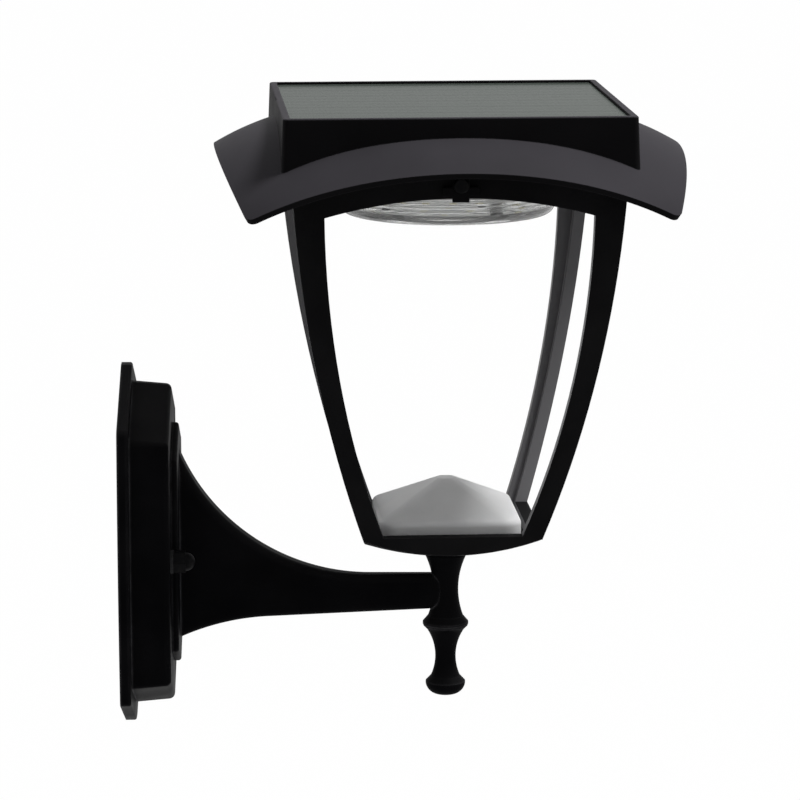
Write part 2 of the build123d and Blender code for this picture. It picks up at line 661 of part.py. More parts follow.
# Lamp pan with a rim, standoffs for the control board and holes for its screws
pan = slab(RectangleRounded(2 * pan_half, 2 * pan_half, PAN_CORNER_R), pan_z, pan_top)
pan += slab(ring_plan(pan_half, PAN_RIM_T, PAN_CORNER_R), pan_z, pan_top + PAN_RIM_H)
standoff_places = []
for x in (-1, 1):
    for y in (-1, 1):
        place = (x * (CONTROL_L / 2 - STANDOFF_R), CONTROL_Y + y * (CONTROL_W / 2 - STANDOFF_R))
        standoff_places.append(place)
control_low = pan_top + STANDOFF_H
lens_screw_place = Vector(LENS_R + LENS_FLANGE_W / 2, 0)
lens_screw_turn = 360 / LENS_SCREW_COUNT
lens_screw_turns = [(step + 0.5) * lens_screw_turn for step in range(LENS_SCREW_COUNT)]
lens_screw_places = [lens_screw_place.rotate(Axis.Z, turn) for turn in lens_screw_turns]
led_screw_place = Vector(LED_SCREW_OFFSET, 0)
led_screw_turns = [(step + 0.5) * 360 / LED_SCREW_COUNT for step in range(LED_SCREW_COUNT)]
led_screw_places = [led_screw_place.rotate(Axis.Z, turn) for turn in led_screw_turns]
for x, y in standoff_places:
    pan += Pos(x, y) * slab(Circle(STANDOFF_R), pan_top, control_low)
for x, y in standoff_places:
    pan -= Pos(x, y) * slab(Circle(SMALL_SCREW_R + THREAD_GAP), pan_top, control_low)
for x, y in corners(pillar_offset):
    pan -= Pos(x, y) * slab(Circle(PAN_SCREW_R + SLIP), pan_z, pan_top)
for place in lens_screw_places:
    pan -= Pos(place) * slab(Circle(LENS_SCREW_R + THREAD_GAP), pan_z, pan_top)
for place in led_screw_places:
    pan -= Pos(place) * slab(Circle(SMALL_SCREW_R + THREAD_GAP), pan_z, pan_top)
lead_hole_y = CONTROL_Y + CONTROL_W / 2 + 2 * WIRE_PITCH
pan -= Pos(0, lead_hole_y) * slab(Circle(WIRE_PITCH), pan_z, pan_top)
save("lamp_pan", HEAD * pan)

# Screws that hold the pan to the roof's pillars
pan_fixing = pan_screw(PAN_SCREW_R, PAN_SCREW_L, PAN_SCREW_R * SCREW_HEAD_RATIO, SCREW_HEAD_H)
save("pan_screws", HEAD * Compound([Pos(x, y, pan_z) * pan_fixing for x, y in corners(pillar_offset)]))

# Lamp board under the pan with its chips and screws
led_low = pan_z - BOARD_T
lens_low_r = LENS_R - LENS_DRAFT
led_board_r = lens_low_r - LENS_T - LED_BOARD_GAP
led_board = slab(Circle(led_board_r), led_low, pan_z)
for place in led_screw_places:
    led_board -= Pos(place) * slab(Circle(SMALL_SCREW_R + SLIP), led_low, pan_z)
save("led_board", HEAD * led_board)
chips = []
led_rings = ((led_board_r - LED_OUTER_INSET, LED_OUTER_COUNT), (LED_INNER_R, LED_INNER_COUNT))
for ring_r, count in led_rings:
    for step in range(count):
        chip = Pos(ring_r, 0) * slab(Rectangle(LED_SIZE, LED_SIZE), led_low - LED_H, led_low)
        chips.append(Rot(0, 0, (step + 0.5) * 360 / count) * chip)
save("led_chips", HEAD * Compound(chips))
small_head_r = SMALL_SCREW_R * SCREW_HEAD_RATIO
led_screw = pan_screw(SMALL_SCREW_R, BOARD_T + PAN_T, small_head_r, SMALL_SCREW_R)
led_screws = [Pos(place) * Pos(0, 0, led_low) * led_screw for place in led_screw_places]
save("led_screws", HEAD * Compound(led_screws))

# Lens: a clear ringed dish with a flange, and a collar for the button
lens_low = pan_z - LENS_DEPTH + LENS_CROWN
crown_r = lens_low_r - LENS_EDGE_R
skirt_low = lens_low + LENS_EDGE_R
flange_low = pan_z - LENS_FLANGE_T


def crown_z(r):
    return lens_low - LENS_CROWN * (1 - (r / crown_r) ** 2)


rim_r = LENS_R + LENS_FLANGE_W
side_points = [(rim_r, pan_z), (rim_r, flange_low), (LENS_R, flange_low)]
for ring in range(2 * LENS_SIDE_RINGS):
    share = (ring + 1) / (2 * LENS_SIDE_RINGS)
    bulge = LENS_RING_H if ring % 2 == 0 else 0
    ring_side_r = LENS_R - LENS_DRAFT * share + bulge
    side_points.append((ring_side_r, flange_low + (skirt_low - flange_low) * share))
crown_points = []
for ring in range(2 * LENS_RINGS + 1):
    ring_r = crown_r * (1 - ring / (2 * LENS_RINGS))
    crown_points.append((ring_r, crown_z(ring_r) - (LENS_RING_H if ring % 2 else 0)))
inner_r = lens_low_r - LENS_T
edge_turn = LENS_EDGE_R * math.sqrt(0.5)
with BuildSketch(Plane.XZ) as lens_half:
    with BuildLine():
        Polyline(*side_points)
        ThreePointArc(side_points[-1], (crown_r + edge_turn, skirt_low - edge_turn), crown_points[0])
        Polyline(*crown_points, (0, crown_z(0) + LENS_T))
        ThreePointArc(
            (0, crown_z(0) + LENS_T), (inner_r / 2, crown_z(inner_r / 2) + LENS_T), (inner_r, skirt_low)
        )
        Polyline((inner_r, skirt_low), (inner_r, pan_z), (rim_r, pan_z))
    make_face()
lens = revolve(lens_half.sketch, Axis.Z)
collar_mid = crown_z(math.hypot(BUTTON_X, BUTTON_Y))
collar_low = collar_mid - COLLAR_OUT
switch_low = led_low - SWITCH_H
pin_top = switch_low - BUTTON_TRAVEL - SLIP
collar_top = pin_top - BUTTON_PIN_L - BUTTON_FLANGE_T
collar_r = BUTTON_R + BUTTON_GAP + COLLAR_WALL
at_button = Pos(BUTTON_X, BUTTON_Y)
lens += at_button * slab(Circle(collar_r), collar_low, collar_top)
lens -= at_button * slab(Circle(BUTTON_R + BUTTON_GAP), collar_low, collar_top)
for place in lens_screw_places:
    lens -= Pos(place) * slab(Circle(LENS_SCREW_R + SLIP), flange_low, pan_z)
save("lens", HEAD * lens)
lens_head_r = LENS_SCREW_R * SCREW_HEAD_RATIO
lens_screw = pan_screw(LENS_SCREW_R, LENS_FLANGE_T + PAN_T, lens_head_r, LENS_SCREW_R)
lens_screws = [Pos(place) * Pos(0, 0, flange_low) * lens_screw for place in lens_screw_places]
save("lens_screws", HEAD * Compound(lens_screws))

# Mode button in the collar, under a small switch on the lamp board
save("button_switch", HEAD * at_button * slab(Rectangle(SWITCH_SIZE, SWITCH_SIZE), switch_low, led_low))
flange_top = collar_top + BUTTON_FLANGE_T
button = slab(Circle(BUTTON_R), collar_low - BUTTON_OUT, collar_top)
button = fillet(button.edges().group_by(Axis.Z)[0], BUTTON_OUT / 4)
button += slab(Circle(BUTTON_FLANGE_R), collar_top, flange_top)
button += slab(Circle(BUTTON_PIN_R), collar_top, pin_top)
save("mode_button", HEAD * at_button * button)

# Battery cell in its holder, with a contact plate at each end
cell_z = pan_top + HOLDER_WALL + SLIP + CELL_R
trough_half = CELL_L / 2 + CONTACT_T + SLIP
holder_half_l = trough_half + HOLDER_WALL
holder_half_w = CELL_R + SLIP + HOLDER_WALL
at_cell = Pos(0, CELL_Y)
holder = slab(at_cell * Rectangle(2 * holder_half_l, 2 * holder_half_w), pan_top, pan_top + HOLDER_H)
holder -= Pos(0, CELL_Y, cell_z) * Rot(0, 90, 0) * Cylinder(CELL_R + SLIP, 2 * trough_half)
save("battery_holder", HEAD * holder)
cell = Rot(0, 90, 0) * Cylinder(CELL_R, CELL_L)
cell = fillet(cell.edges().filter_by(GeomType.CIRCLE), CONTACT_T)
save("battery_cell", HEAD * Pos(0, CELL_Y, cell_z) * cell)
contact = Box(CONTACT_T, CELL_R, CELL_R)
contact_x = CELL_L / 2 + SLIP / 2 + CONTACT_T / 2
contacts = [Pos(x, CELL_Y, cell_z) * contact for x in (-contact_x, contact_x)]
save("battery_contacts", HEAD * Compound(contacts))

# Control board on the pan's standoffs, with its screws, parts and connectors
control_top = control_low + BOARD_T
control_plan = Pos(0, CONTROL_Y) * RectangleRounded(CONTROL_L, CONTROL_W, STANDOFF_R / 2)
control_board = slab(control_plan, control_low, control_top)
for x, y in standoff_places:
    control_board -= Pos(x, y) * slab(Circle(SMALL_SCREW_R + SLIP), control_low, control_top)
save("control_board", HEAD * control_board)
board_screw = pan_screw(SMALL_SCREW_R, BOARD_T + STANDOFF_H, small_head_r, SMALL_SCREW_R)
turned_down = Rot(180, 0, 0) * board_screw
board_screws = [Pos(x, y, control_top) * turned_down for x, y in standoff_places]
save("board_screws", HEAD * Compound(board_screws))
on_board = Pos(0, CONTROL_Y, control_top)
from_below = (Align.CENTER, Align.CENTER, Align.MIN)
controller = on_board * Pos(*CONTROLLER_PLACE) * Box(*CONTROLLER_SIZE, align=from_below)
driver = on_board * Pos(*DRIVER_PLACE) * Box(*DRIVER_SIZE, align=from_below)
inductor = on_board * Pos(*INDUCTOR_PLACE) * Cylinder(*INDUCTOR_SIZE, align=from_below)
capacitor = on_board * Pos(*CAPACITOR_PLACE) * Cylinder(*CAPACITOR_SIZE, align=from_below)
save("control_parts", HEAD * Compound([controller, driver, inductor, capacitor]))
connector_y = CONTROL_W / 2 - CONNECTOR_W / 2 - SLIP
connector = on_board * Box(CONNECTOR_L, CONNECTOR_W, CONNECTOR_H, align=from_below)
connector_xs = (-CONNECTOR_SPACING, 0, CONNECTOR_SPACING)
save("connectors", HEAD * Compound([Pos(x, connector_y) * connector for x in connector_xs]))


def lead(name, routes):
    """Wires that each run straight between bends of one radius."""
    wires = []
    for route in routes:
        path = FilletPolyline(*route, radius=WIRE_BEND)
        section = Plane(path @ 0, z_dir=path % 0) * Circle(WIRE_R)
        wires.append(sweep(section, path))
    save(name, HEAD * Compound(wires))


# Leads from the connectors to the panel, the lamp and the battery's two ends
plug_y = CONTROL_Y + connector_y
plug_z = control_top + CONNECTOR_H
turn_z = plug_z + 2 * WIRE_BEND
panel_y = plug_y + 3 * WIRE_BEND
panel_routes = []
lamp_routes = []
for side in (-0.5, 0.5):
    x = CONNECTOR_SPACING + side * WIRE_PITCH
    rise = [(x, plug_y, plug_z), (x, plug_y, turn_z)]
    panel_routes.append(rise + [(x, panel_y, turn_z + WIRE_BEND), (x, panel_y, board_low)])
    x = side * WIRE_PITCH
    rise = [(x, plug_y, plug_z), (x, plug_y, turn_z)]
    lamp_routes.append(rise + [(x, lead_hole_y, turn_z), (x, lead_hole_y, pan_z)])
lead("panel_lead", panel_routes)
lead("lamp_lead", lamp_routes)
tab_x = contact_x + CONTACT_T / 2
tab_z = cell_z + CELL_R / 4
side_x = holder_half_l + 2 * WIRE_BEND
between_y = (CELL_Y - holder_half_w + CONTROL_Y + CONTROL_W / 2) / 2
near_x = -CONNECTOR_SPACING + WIRE_PITCH / 2
far_x = -CONNECTOR_SPACING - WIRE_PITCH / 2
plus_route = [(tab_x, CELL_Y, tab_z), (side_x, CELL_Y, tab_z), (side_x, between_y, tab_z)]
plus_route += [(near_x, between_y, turn_z), (near_x, plug_y, turn_z), (near_x, plug_y, plug_z)]
minus_route = [(-tab_x, CELL_Y, tab_z), (-side_x, CELL_Y, tab_z), (-side_x, plug_y, turn_z)]
minus_route += [(far_x, plug_y, turn_z), (far_x, plug_y, plug_z)]
lead("battery_lead", [plus_route, minus_route])
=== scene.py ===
import bpy
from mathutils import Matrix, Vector


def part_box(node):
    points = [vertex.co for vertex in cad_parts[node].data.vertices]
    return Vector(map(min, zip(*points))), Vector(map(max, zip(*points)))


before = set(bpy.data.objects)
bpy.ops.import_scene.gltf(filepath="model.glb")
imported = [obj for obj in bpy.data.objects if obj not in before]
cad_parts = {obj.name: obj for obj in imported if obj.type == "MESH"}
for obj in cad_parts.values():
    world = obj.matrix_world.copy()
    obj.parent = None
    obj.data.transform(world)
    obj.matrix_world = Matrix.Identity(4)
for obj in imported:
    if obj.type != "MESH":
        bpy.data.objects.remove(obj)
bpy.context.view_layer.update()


# Wall bracket, its two studs and the plain steel hardware inside the arm and stem.
# Pressed and turned mild steel, zinc plated: a pale metal with a fine cloudy spangle.
# The strap is screwed to the wall and the studs carry the whole light.
def start_finish(name):
    finish = bpy.data.materials.new(name)
    finish.use_nodes = True
    return finish, finish.node_tree, finish.node_tree.nodes["Principled BSDF"]


def spot_pattern(tree, kind, scale, detail=2.0):
    """A noise or cell pattern fixed to the piece itself, with its scale per metre."""
    place = tree.nodes.new("ShaderNodeTexCoord")
    pattern = tree.nodes.new(kind)
    pattern.inputs["Scale"].default_value = scale
    if "Detail" in pattern.inputs:
        pattern.inputs["Detail"].default_value = detail
    tree.links.new(place.outputs["Object"], pattern.inputs["Vector"])
    return pattern.outputs["Fac"] if "Fac" in pattern.outputs else pattern.outputs["Distance"]


def spread(tree, pattern, at_start, at_stop, start=0.3, stop=0.7):
    """Turns a pattern into a number that goes from one value to another."""
    span = tree.nodes.new("ShaderNodeMapRange")
    span.inputs["From Min"].default_value = start
    span.inputs["From Max"].default_value = stop
    span.inputs["To Min"].default_value = at_start
    span.inputs["To Max"].default_value = at_stop
    tree.links.new(pattern, span.inputs["Value"])
    return span.outputs["Result"]


def two_tone(tree, pattern, dark, light, start=0.35, stop=0.65):
    """Turns a pattern into a colour between two tones."""
    ramp = tree.nodes.new("ShaderNodeValToRGB")
    ramp.color_ramp.elements[0].position = start
    ramp.color_ramp.elements[0].color = (*dark, 1)
    ramp.color_ramp.elements[1].position = stop
    ramp.color_ramp.elements[1].color = (*light, 1)
    tree.links.new(pattern, ramp.inputs["Fac"])
    return ramp.outputs["Color"]


def paint(tree, surface, pattern, dark, light, start=0.35, stop=0.65):
    """Colours a finish between two tones."""
    colour = two_tone(tree, pattern, dark, light, start, stop)
    tree.links.new(colour, surface.inputs["Base Color"])


def polish(tree, surface, pattern, at_start, at_stop, start=0.3, stop=0.7):
    """Makes a finish rougher or smoother along a pattern."""
    roughness = spread(tree, pattern, at_start, at_stop, start, stop)
    tree.links.new(roughness, surface.inputs["Roughness"])


EDGE_RAYS = 6


def grain(tree, surface, pattern, height, strength=1.0, edge=0.0):
    """Raises a pattern as a fine grain, and eases sharp edges by a small radius."""
    bump = tree.nodes.new("ShaderNodeBump")
    bump.inputs["Strength"].default_value = strength
    bump.inputs["Distance"].default_value = height
    tree.links.new(pattern, bump.inputs["Height"])
    if edge:
        round_edge = tree.nodes.new("ShaderNodeBevel")
        round_edge.samples = EDGE_RAYS
        round_edge.inputs["Radius"].default_value = edge
        tree.links.new(round_edge.outputs["Normal"], bump.inputs["Normal"])
    tree.links.new(bump.outputs["Normal"], surface.inputs["Normal"])


def dress(finish, *pieces):
    for piece in pieces:
        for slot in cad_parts[piece].material_slots:
            slot.material = finish


NOISE = "ShaderNodeTexNoise"
zinc_grey, zinc_pale = (0.42, 0.43, 0.42), (0.62, 0.63, 0.61)
zinc, tree, surface = start_finish("zinc_plate")
surface.inputs["Metallic"].default_value = 1.0
clouds = spot_pattern(tree, NOISE, scale=160, detail=4.0)
paint(tree, surface, clouds, zinc_grey, zinc_pale)
polish(tree, surface, clouds, 0.26, 0.44)
spangle = spot_pattern(tree, NOISE, scale=1800)
grain(tree, surface, spangle, height=0.00004, strength=0.5, edge=0.0003)
dress(zinc, "wall_bracket", "bracket_studs", "arm_screws", "tie_rod", "tie_washer", "tie_nut")

# Gasket behind the plate and the washers under the cap nuts.
# Closed-cell rubber, die cut, dull black with open pores on the cut face.
# The plate squeezes the gasket on the wall, and the nuts squeeze the washers.
CELLS = "ShaderNodeTexVoronoi"
rubber_black, rubber_grey = (0.006, 0.006, 0.006), (0.024, 0.024, 0.025)
rubber, tree, surface = start_finish("cell_rubber")
surface.inputs["Specular IOR Level"].default_value = 0.18
pores = spot_pattern(tree, CELLS, scale=900)
paint(tree, surface, pores, rubber_black, rubber_grey, start=0.1, stop=0.6)
polish(tree, surface, pores, 0.95, 0.78, start=0.1, stop=0.7)
grain(tree, surface, pores, height=0.00025, strength=0.7)
dress(rubber, "wall_gasket", "stud_washers")


# Wall plate, arm with its stem, and end knob.
# Die-cast aluminium under a satin black powder coat with a faint orange peel.
# Faces that look up are painted a paler grey as painted light from above, in uneven patches, and
# sharp edges carry a painted highlight in broken patches.
def over(tree, amount, under_colour, top_colour):
    """Lays a plain colour over another where the amount is one."""
    blend = tree.nodes.new("ShaderNodeMix")
    blend.data_type = "RGBA"
    under_socket, top_socket, blended = blend.inputs[6], blend.inputs[7], blend.outputs[2]
    top_socket.default_value = (*top_colour, 1)
    tree.links.new(amount, blend.inputs["Factor"])
    tree.links.new(under_colour, under_socket)
    return blended


def both(tree, first, second):
    """The product of two amounts."""
    product = tree.nodes.new("ShaderNodeMath")
    product.operation = "MULTIPLY"
    tree.links.new(first, product.inputs[0])
    tree.links.new(second, product.inputs[1])
    return product.outputs[0]


def painted_edge_highlight(tree, surface, body_colour, edge_colour, width):
    """Paints a highlight: blends the colour to a paler one in broken patches along the sharp
    edges.
    """
    eased = tree.nodes.new("ShaderNodeBevel")
    eased.samples = EDGE_RAYS
    eased.inputs["Radius"].default_value = width
    face = tree.nodes.new("ShaderNodeNewGeometry")
    turn = tree.nodes.new("ShaderNodeVectorMath")
    turn.operation = "DOT_PRODUCT"
    tree.links.new(eased.outputs["Normal"], turn.inputs[0])
    tree.links.new(face.outputs["Normal"], turn.inputs[1])
    along_edge = spread(tree, turn.outputs["Value"], 1.0, 0.0, start=0.80, stop=0.985)
    # Noise that breaks the painted highlight into patches.
    highlight_breakup = spot_pattern(tree, NOISE, scale=90, detail=4.0)
    patches = spread(tree, highlight_breakup, 0.25, 1.0)
    colour = over(tree, both(tree, along_edge, patches), body_colour, edge_colour)
    tree.links.new(colour, surface.inputs["Base Color"])


def looks_up(tree, start, stop):
    """One on faces that look up, nothing on upright ones."""
    face = tree.nodes.new("ShaderNodeNewGeometry")
    axes = tree.nodes.new("ShaderNodeSeparateXYZ")
    tree.links.new(face.outputs["Normal"], axes.inputs["Vector"])
    return spread(tree, axes.outputs["Z"], 0.0, 1.0, start, stop)


COAT_IOR = 1.05


def powder_coat(name):
    """The satin coat with its orange peel, and the clouds of dust that tone it."""
    finish, tree, surface = start_finish(name)
    surface.inputs["IOR"].default_value = COAT_IOR
    peel = spot_pattern(tree, NOISE, scale=1300)
    grain(tree, surface, peel, height=0.00006, strength=0.6, edge=0.0007)
    return finish, tree, surface, spot_pattern(tree, NOISE, scale=28, detail=5.0)


coat_black, coat_grey = (0.0026, 0.0026, 0.0031), (0.0056, 0.0055, 0.0062)
# Painted light: the grey laid on faces that look up, and the paler painted highlight on sharp
# edges.
top_light_grey = (0.0125, 0.0122, 0.0130)
edge_highlight_grey = (0.085, 0.083, 0.088)
powder, tree, surface, dust = powder_coat("black_powder_coat")
polish(tree, surface, dust, 0.40, 0.54)
coat = two_tone(tree, dust, coat_black, coat_grey)
# Painted light from above: upward faces blend towards the paler grey, unevenly.
top_light_breakup = spread(tree, spot_pattern(tree, NOISE, scale=45, detail=4.0), 0.6, 1.0)
top_light_amount = both(tree, looks_up(tree, start=0.10, stop=0.80), top_light_breakup)
top_lit_coat = over(tree, top_light_amount, coat, top_light_grey)
# Painted highlight along the sharp edges.
painted_edge_highlight(tree, surface, top_lit_coat, edge_highlight_grey, width=0.0022)
dress(powder, "wall_plate", "arm", "finial")

# Lantern cage: four bowed posts, arched headers and the tray in one casting.
# Die-cast aluminium with the same black coat, smoother and glossier on the faces that look
# inward.
# Those inward faces are painted a pale grey as painted light, and the outside is full black.
cage_low, cage_high = (Vector(corner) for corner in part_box("cage"))
head_middle = (cage_low + cage_high) / 2
cage_black, cage_grey = (0.0070, 0.0069, 0.0073), (0.0110, 0.0108, 0.0114)
# Painted light: the pale grey of the faces that look inward, and the painted highlight on sharp
# edges.
inward_light_grey = (0.130, 0.128, 0.133)
cage_edge_highlight_grey = (0.040, 0.039, 0.042)
inward_ior = 1.12
cage_coat, tree, surface, dust = powder_coat("cage_powder_coat")
coat = two_tone(tree, dust, cage_black, cage_grey)
face = tree.nodes.new("ShaderNodeNewGeometry")
from_axis = tree.nodes.new("ShaderNodeVectorMath")
from_axis.operation = "SUBTRACT"
from_axis.inputs[1].default_value = head_middle
tree.links.new(face.outputs["Position"], from_axis.inputs[0])
level_out = tree.nodes.new("ShaderNodeVectorMath")
level_out.operation = "MULTIPLY"
level_out.inputs[1].default_value = (1, 1, 0)
tree.links.new(from_axis.outputs["Vector"], level_out.inputs[0])
outward = tree.nodes.new("ShaderNodeVectorMath")
outward.operation = "NORMALIZE"
tree.links.new(level_out.outputs["Vector"], outward.inputs[0])
facing = tree.nodes.new("ShaderNodeVectorMath")
facing.operation = "DOT_PRODUCT"
tree.links.new(outward.outputs["Vector"], facing.inputs[0])
tree.links.new(face.outputs["Normal"], facing.inputs[1])
inside = spread(tree, facing.outputs["Value"], 1.0, 0.0, start=-0.55, stop=-0.35)
polish(tree, surface, inside, 0.56, 0.40, start=0.0, stop=1.0)
sheen = spread(tree, inside, COAT_IOR, inward_ior, start=0.0, stop=1.0)
tree.links.new(sheen, surface.inputs["IOR"])
# Painted light: the faces that look inward take the pale grey.
inward_lit_coat = over(tree, inside, coat, inward_light_grey)
painted_edge_highlight(tree, surface, inward_lit_coat, cage_edge_highlight_grey, width=0.0008)
dress(cage_coat, "cage")

# Cap nuts on the two studs, and the screws of the lantern head.
# Steel with a black oxide skin, a little smoother and brighter than the coat.
# They are turned and rolled, so the skin is worn thin in spots.
oxide_black, oxide_worn = (0.0025, 0.0025, 0.003), (0.010, 0.0097, 0.0097)
oxide, tree, surface = start_finish("black_oxide")
surface.inputs["IOR"].default_value = 1.11
worn = spot_pattern(tree, NOISE, scale=420, detail=4.0)
paint(tree, surface, worn, oxide_black, oxide_worn, start=0.5, stop=0.85)
polish(tree, surface, worn, 0.28, 0.42)
tool_marks = spot_pattern(tree, NOISE, scale=2600)
grain(tree, surface, tool_marks, height=0.00003, strength=0.5, edge=0.0003)
dress(oxide, "cap_nuts", "lug_screws", "pan_screws", "lens_screws", "led_screws", "board_screws")

# Reflector pyramid in the tray.
# Opal acrylic, moulded in one piece and a little see-through at its thin edges.
# It spreads the lamp's light to all four windows.
opal_shade, opal_white = (0.83, 0.84, 0.85), (0.88, 0.885, 0.89)
opal, tree, surface = start_finish("opal_acrylic")
surface.inputs["Subsurface Weight"].default_value = 0.85
surface.inputs["Subsurface Radius"].default_value = (1.0, 1.0, 1.0)
surface.inputs["Subsurface Scale"].default_value = 0.010
surface.inputs["Specular IOR Level"].default_value = 0.35
milk = spot_pattern(tree, NOISE, scale=60, detail=4.0)
paint(tree, surface, milk, opal_shade, opal_white)
polish(tree, surface, milk, 0.38, 0.50)
mould_skin = spot_pattern(tree, NOISE, scale=900)
grain(tree, surface, mould_skin, height=0.00004, strength=0.4, edge=0.0008)
dress(opal, "reflector_pyramid")

# Roof with the panel box moulded on it.
# Weather-proof plastic, mass coloured black, with a fine spark-eroded grain.
# Faces that look up are painted grey as painted light from above, sharp edges carry a faint
# painted highlight, and its lugs are screwed to the cage.
roof_black, roof_hazy = (0.0042, 0.0040, 0.0044), (0.0062, 0.0059, 0.0065)
# Painted light: the grey on faces that look up, and the faint painted highlight on sharp edges.
roof_top_light_grey = (0.0270, 0.0255, 0.0290)
roof_edge_highlight_grey = (0.022, 0.021, 0.023)
roof_grain, tree, surface = start_finish("grained_roof_plastic")
surface.inputs["IOR"].default_value = 1.07
haze = spot_pattern(tree, NOISE, scale=22, detail=5.0)
spark = spot_pattern(tree, NOISE, scale=1700)
plastic = two_tone(tree, haze, roof_black, roof_hazy)
# Painted light from above: upward faces blend towards the grey, a little unevenly.
roof_top_light_amount = both(tree, looks_up(tree, start=0.20, stop=0.75), spread(tree, haze, 0.82, 1.0))
top_lit_plastic = over(tree, roof_top_light_amount, plastic, roof_top_light_grey)
painted_edge_highlight(tree, surface, top_lit_plastic, roof_edge_highlight_grey, width=0.0007)
polish(tree, surface, haze, 0.52, 0.62)
grain(tree, surface, spark, height=0.00006, strength=0.6, edge=0.0006)
dress(roof_grain, "roof_shell")

# Solar panel: a rubber seal, a dark board and six cells bonded under one pane.
# The cells are dark grey-green silicon with fine pale fingers and bus bars.
# The pane is satin glass, made opaque here with the cells drawn in its finish.
STRIP_PITCH = 0.0252
BAR_PITCH = STRIP_PITCH / 2
FINGER_PITCH = 0.0021
HEAD_TURN = 0.04538
SILICON_DARK, SILICON_PALE = (0.028, 0.034, 0.030), (0.039, 0.046, 0.041)
FINGER_PALE = (0.043, 0.050, 0.045)
BAR_PALE = (0.050, 0.057, 0.052)
GAP_DARK = (0.026, 0.031, 0.028)


def stripes(tree, along, pitch, share, centre=0.0):
    """One where a line runs, nothing between: lines of a share of the pitch, about a centre."""
    moved = tree.nodes.new("ShaderNodeMath")
    moved.operation = "SUBTRACT"
    moved.inputs[1].default_value = centre
    tree.links.new(along, moved.inputs[0])
    saw = tree.nodes.new("ShaderNodeMath")
    saw.operation = "PINGPONG"
    saw.inputs[1].default_value = pitch / 2
    tree.links.new(moved.outputs[0], saw.inputs[0])
    line = tree.nodes.new("ShaderNodeMath")
    line.operation = "LESS_THAN"
    line.inputs[1].default_value = pitch * share / 2
    tree.links.new(saw.outputs[0], line.inputs[0])
    return line.outputs[0]


def cell_pattern(tree):
    """Cells in strips with fingers across and bus bars along, in the turned head's own square."""
    place = tree.nodes.new("ShaderNodeTexCoord")
    square = tree.nodes.new("ShaderNodeMapping")
    square.vector_type = "TEXTURE"
    square.inputs["Location"].default_value = (*head_middle.xy, 0)
    square.inputs["Rotation"].default_value = (0, 0, HEAD_TURN)
    tree.links.new(place.outputs["Object"], square.inputs["Vector"])
    axes = tree.nodes.new("ShaderNodeSeparateXYZ")
    tree.links.new(square.outputs["Vector"], axes.inputs["Vector"])
    crystals = spot_pattern(tree, CELLS, scale=120)
    colour = two_tone(tree, crystals, SILICON_DARK, SILICON_PALE, start=0.1, stop=0.7)
    fingers = stripes(tree, axes.outputs["X"], FINGER_PITCH, share=0.10)
    colour = over(tree, fingers, colour, FINGER_PALE)
    bars = stripes(tree, axes.outputs["Y"], BAR_PITCH, share=0.10, centre=BAR_PITCH / 2)
    colour = over(tree, bars, colour, BAR_PALE)
    gaps = stripes(tree, axes.outputs["Y"], STRIP_PITCH, share=0.05)
    return over(tree, gaps, colour, GAP_DARK)


silicon, tree, surface = start_finish("solar_silicon")
tree.links.new(cell_pattern(tree), surface.inputs["Base Color"])
polish(tree, surface, spot_pattern(tree, CELLS, scale=140), 0.22, 0.36)
dress(silicon, "solar_cells")

board_dark, board_green = (0.006, 0.028, 0.014), (0.010, 0.045, 0.022)
mask, tree, surface = start_finish("green_board_mask")
weave = spot_pattern(tree, NOISE, scale=700, detail=3.0)
paint(tree, surface, weave, board_dark, board_green)
polish(tree, surface, weave, 0.34, 0.48)
grain(tree, surface, weave, height=0.00005, strength=0.4, edge=0.0003)
dress(mask, "panel_board", "control_board")
dress(rubber, "panel_seal")

pane, tree, surface = start_finish("satin_solar_glass")
surface.inputs["IOR"].default_value = 1.022
ripple = spot_pattern(tree, NOISE, scale=800)
tree.links.new(cell_pattern(tree), surface.inputs["Base Color"])
polish(tree, surface, ripple, 0.12, 0.20)
grain(tree, surface, ripple, height=0.00002, strength=0.3)
dress(pane, "panel_glass")

# Lamp pan under the roof, and the lamp board with its chips.
# The pan is white moulded plastic that throws light down; the board is white too.
# The chips are small square packages with a pale yellow phosphor face.
pan_shade, pan_white = (0.58, 0.58, 0.57), (0.66, 0.66, 0.65)
white_pan, tree, surface = start_finish("white_pan_plastic")
shade = spot_pattern(tree, NOISE, scale=45, detail=4.0)
paint(tree, surface, shade, pan_shade, pan_white)
polish(tree, surface, shade, 0.42, 0.55)
pan_skin = spot_pattern(tree, NOISE, scale=1500)
grain(tree, surface, pan_skin, height=0.00004, strength=0.5, edge=0.0005)
dress(white_pan, "lamp_pan", "led_board", "battery_holder")

phosphor_deep, phosphor_pale = (0.62, 0.56, 0.34), (0.74, 0.69, 0.46)
phosphor, tree, surface = start_finish("phosphor_chip")
speck = spot_pattern(tree, NOISE, scale=2600, detail=3.0)
paint(tree, surface, speck, phosphor_deep, phosphor_pale)
polish(tree, surface, speck, 0.30, 0.45)
dress(phosphor, "led_chips")

# Lens over the lamp.
# Clear moulded plastic with fine rings on its face and skirt that spread the light.
# Screws through its flange hold it under the pan.
clear, tree, surface = start_finish("ringed_clear_plastic")
surface.inputs["Base Color"].default_value = (0.90, 0.905, 0.90, 1)
surface.inputs["Transmission Weight"].default_value = 0.90
surface.inputs["IOR"].default_value = 1.40
frost = spot_pattern(tree, NOISE, scale=300, detail=3.0)
polish(tree, surface, frost, 0.012, 0.030)
grain(tree, surface, frost, height=0.00002, strength=0.3)
dress(clear, "lens")

